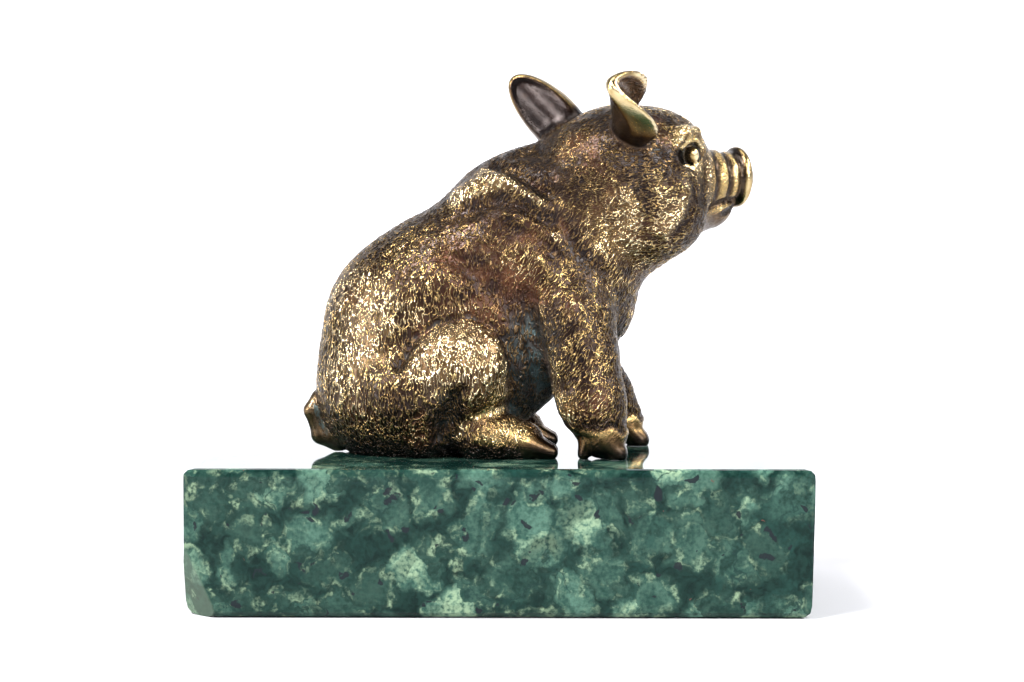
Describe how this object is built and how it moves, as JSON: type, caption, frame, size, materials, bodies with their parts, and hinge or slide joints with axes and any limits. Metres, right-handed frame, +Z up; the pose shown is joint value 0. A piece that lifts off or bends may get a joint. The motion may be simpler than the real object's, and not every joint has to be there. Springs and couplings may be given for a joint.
{
  "type": "piglet sculpture",
  "caption": "Seated piglet in cast bronze with its head turned aside, fixed on a polished rectangular block of green stone.",
  "frame": {"origin": "centre of the plinth's underside, at table level", "axes": "+X along the plinth's long side towards the piglet's front, +Y to the piglet's left, +Z up"},
  "size_m": [0.0999, 0.06, 0.0867],
  "materials": {
    "bronze": "cast bronze, dark brown patina rubbed back to gold on the high strokes of the coat, with a little verdigris in the hollows",
    "green_stone": "polished green serpentine with pale green patches, white veins and black specks"
  },
  "bodies": {
    "root": {"piglet": "bronze", "plinth": "green_stone"}
  },
  "joints": []
}
